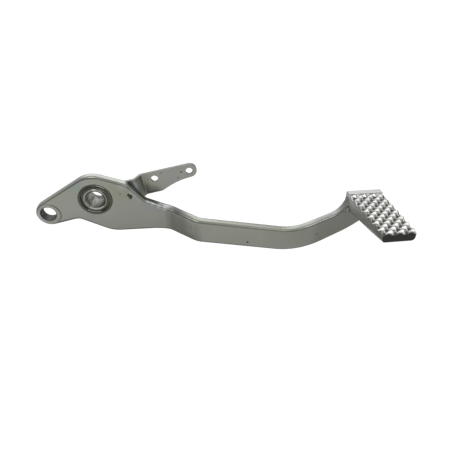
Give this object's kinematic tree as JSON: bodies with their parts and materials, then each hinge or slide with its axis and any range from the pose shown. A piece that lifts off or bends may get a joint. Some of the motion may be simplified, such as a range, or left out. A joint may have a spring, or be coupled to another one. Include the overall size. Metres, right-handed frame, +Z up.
{
  "type": "rear brake pedal",
  "caption": "Motorbike rear brake pedal: a stepped steel lever with a sealed needle-bearing pivot, a rear eye, a spring bracket and a toe plate with a pyramid tread.",
  "frame": {"origin": "on the pivot axis, in the plane of the lever's outboard face, inside the sleeve's bore", "axes": "+X forward along the lever to the toe plate, +Y inboard along the pivot axis, +Z up"},
  "size_m": [0.2414, 0.077, 0.0626],
  "materials": {
    "zinc_plated_forging": "bright zinc plate over a smooth forging, satin with a faint green cast",
    "zinc_plated_steel": "turned steel ring under the same satin zinc plate",
    "zinc_plated_sheet": "pressed sheet steel under satin zinc plate, a little darker than the lever",
    "zinc_plated_casting": "zinc-plated steel, brighter on the tread's flanks than on its ends",
    "plated_weld": "weld metal under zinc plate, uneven and duller than the plates",
    "bearing_steel": "hardened bearing steel, ground and lightly oiled",
    "cage_steel": "pressed steel cage with a matt phosphated skin",
    "ground_steel": "hardened sleeve, ground bright outside and turned inside",
    "seal_rubber": "black nitrile rubber, matt with a greasy sheen"
  },
  "bodies": {
    "pedal": {"pedal_lever": "zinc_plated_forging", "pivot_boss": "zinc_plated_steel", "boss_weld": "plated_weld", "spring_bracket": "zinc_plated_sheet", "bracket_weld": "plated_weld", "toe_plate": "zinc_plated_casting", "toe_weld_outboard": "plated_weld", "toe_weld_inboard": "plated_weld", "bearing_cup": "bearing_steel", "seal_outer": "seal_rubber", "seal_inner": "seal_rubber"},
    "sleeve": {"pivot_sleeve": "ground_steel"},
    "cage": {"needle_cage": "cage_steel"},
    "needle_01": {"needle_01": "bearing_steel"},
    "needle_02": {"needle_02": "bearing_steel"},
    "needle_03": {"needle_03": "bearing_steel"},
    "needle_04": {"needle_04": "bearing_steel"},
    "needle_05": {"needle_05": "bearing_steel"},
    "needle_06": {"needle_06": "bearing_steel"},
    "needle_07": {"needle_07": "bearing_steel"},
    "needle_08": {"needle_08": "bearing_steel"},
    "needle_09": {"needle_09": "bearing_steel"},
    "needle_10": {"needle_10": "bearing_steel"},
    "needle_11": {"needle_11": "bearing_steel"},
    "needle_12": {"needle_12": "bearing_steel"},
    "needle_13": {"needle_13": "bearing_steel"},
    "needle_14": {"needle_14": "bearing_steel"},
    "needle_15": {"needle_15": "bearing_steel"},
    "needle_16": {"needle_16": "bearing_steel"},
    "needle_17": {"needle_17": "bearing_steel"},
    "needle_18": {"needle_18": "bearing_steel"}
  },
  "joints": [
    {"name": "sleeve_spin", "type": "hinge", "parent": "pedal", "child": "sleeve", "pos_m": [0, 0, 0], "axis": [0, 1, 0], "continuous": true},
    {"name": "cage_spin", "type": "hinge", "parent": "pedal", "child": "cage", "pos_m": [0, 0, 0], "axis": [0, 1, 0], "continuous": true},
    {"name": "needle_01_roll", "type": "hinge", "parent": "cage", "child": "needle_01", "pos_m": [0.00308, 0.00625, 0.00846], "axis": [0, 1, 0], "continuous": true},
    {"name": "needle_02_roll", "type": "hinge", "parent": "cage", "child": "needle_02", "pos_m": [0.00579, 0.00625, 0.00689], "axis": [0, 1, 0], "continuous": true},
    {"name": "needle_03_roll", "type": "hinge", "parent": "cage", "child": "needle_03", "pos_m": [0.00779, 0.00625, 0.0045], "axis": [0, 1, 0], "continuous": true},
    {"name": "needle_04_roll", "type": "hinge", "parent": "cage", "child": "needle_04", "pos_m": [0.00886, 0.00625, 0.00156], "axis": [0, 1, 0], "continuous": true},
    {"name": "needle_05_roll", "type": "hinge", "parent": "cage", "child": "needle_05", "pos_m": [0.00886, 0.00625, -0.00156], "axis": [0, 1, 0], "continuous": true},
    {"name": "needle_06_roll", "type": "hinge", "parent": "cage", "child": "needle_06", "pos_m": [0.00779, 0.00625, -0.0045], "axis": [0, 1, 0], "continuous": true},
    {"name": "needle_07_roll", "type": "hinge", "parent": "cage", "child": "needle_07", "pos_m": [0.00579, 0.00625, -0.00689], "axis": [0, 1, 0], "continuous": true},
    {"name": "needle_08_roll", "type": "hinge", "parent": "cage", "child": "needle_08", "pos_m": [0.00308, 0.00625, -0.00846], "axis": [0, 1, 0], "continuous": true},
    {"name": "needle_09_roll", "type": "hinge", "parent": "cage", "child": "needle_09", "pos_m": [0, 0.00625, -0.009], "axis": [0, 1, 0], "continuous": true},
    {"name": "needle_10_roll", "type": "hinge", "parent": "cage", "child": "needle_10", "pos_m": [-0.00308, 0.00625, -0.00846], "axis": [0, 1, 0], "continuous": true},
    {"name": "needle_11_roll", "type": "hinge", "parent": "cage", "child": "needle_11", "pos_m": [-0.00579, 0.00625, -0.00689], "axis": [0, 1, 0], "continuous": true},
    {"name": "needle_12_roll", "type": "hinge", "parent": "cage", "child": "needle_12", "pos_m": [-0.00779, 0.00625, -0.0045], "axis": [0, 1, 0], "continuous": true},
    {"name": "needle_13_roll", "type": "hinge", "parent": "cage", "child": "needle_13", "pos_m": [-0.00886, 0.00625, -0.00156], "axis": [0, 1, 0], "continuous": true},
    {"name": "needle_14_roll", "type": "hinge", "parent": "cage", "child": "needle_14", "pos_m": [-0.00886, 0.00625, 0.00156], "axis": [0, 1, 0], "continuous": true},
    {"name": "needle_15_roll", "type": "hinge", "parent": "cage", "child": "needle_15", "pos_m": [-0.00779, 0.00625, 0.0045], "axis": [0, 1, 0], "continuous": true},
    {"name": "needle_16_roll", "type": "hinge", "parent": "cage", "child": "needle_16", "pos_m": [-0.00579, 0.00625, 0.00689], "axis": [0, 1, 0], "continuous": true},
    {"name": "needle_17_roll", "type": "hinge", "parent": "cage", "child": "needle_17", "pos_m": [-0.00308, 0.00625, 0.00846], "axis": [0, 1, 0], "continuous": true},
    {"name": "needle_18_roll", "type": "hinge", "parent": "cage", "child": "needle_18", "pos_m": [0, 0.00625, 0.009], "axis": [0, 1, 0], "continuous": true}
  ],
  "couplings": [
    {"joint": "cage_spin", "follows": "sleeve_spin", "ratio": 0.44444},
    {"joint": "needle_01_roll", "follows": "sleeve_spin", "ratio": -4.4444},
    {"joint": "needle_02_roll", "follows": "sleeve_spin", "ratio": -4.4444},
    {"joint": "needle_03_roll", "follows": "sleeve_spin", "ratio": -4.4444},
    {"joint": "needle_04_roll", "follows": "sleeve_spin", "ratio": -4.4444},
    {"joint": "needle_05_roll", "follows": "sleeve_spin", "ratio": -4.4444},
    {"joint": "needle_06_roll", "follows": "sleeve_spin", "ratio": -4.4444},
    {"joint": "needle_07_roll", "follows": "sleeve_spin", "ratio": -4.4444},
    {"joint": "needle_08_roll", "follows": "sleeve_spin", "ratio": -4.4444},
    {"joint": "needle_09_roll", "follows": "sleeve_spin", "ratio": -4.4444},
    {"joint": "needle_10_roll", "follows": "sleeve_spin", "ratio": -4.4444},
    {"joint": "needle_11_roll", "follows": "sleeve_spin", "ratio": -4.4444},
    {"joint": "needle_12_roll", "follows": "sleeve_spin", "ratio": -4.4444},
    {"joint": "needle_13_roll", "follows": "sleeve_spin", "ratio": -4.4444},
    {"joint": "needle_14_roll", "follows": "sleeve_spin", "ratio": -4.4444},
    {"joint": "needle_15_roll", "follows": "sleeve_spin", "ratio": -4.4444},
    {"joint": "needle_16_roll", "follows": "sleeve_spin", "ratio": -4.4444},
    {"joint": "needle_17_roll", "follows": "sleeve_spin", "ratio": -4.4444},
    {"joint": "needle_18_roll", "follows": "sleeve_spin", "ratio": -4.4444}
  ]
}
